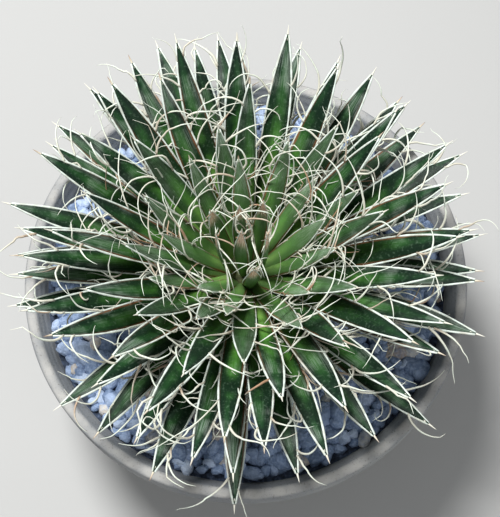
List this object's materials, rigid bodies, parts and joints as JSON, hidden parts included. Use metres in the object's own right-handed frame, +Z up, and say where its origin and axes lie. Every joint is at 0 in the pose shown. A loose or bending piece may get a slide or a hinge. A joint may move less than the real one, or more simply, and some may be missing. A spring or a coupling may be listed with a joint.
{
  "type": "potted agave",
  "caption": "Thread agave rosette with white-edged leaves, end spines and curling threads, growing in blue-grey gravel in a plain round stoneware pot.",
  "frame": {"origin": "centre of the pot's flat base, on the ground", "axes": "+Z up along the pot's axis; -Y towards the viewer of the picture"},
  "size_m": [0.3859, 0.3987, 0.3147],
  "materials": {
    "pot": "matte",
    "potting_soil": "matte",
    "gravel": "matte",
    "agave_leaf": "satin"
  },
  "bodies": {
    "root": {"pot": "pot", "potting_soil": "potting_soil", "gravel_top_dressing": "gravel", "agave_rosette": "agave_leaf"}
  },
  "joints": []
}
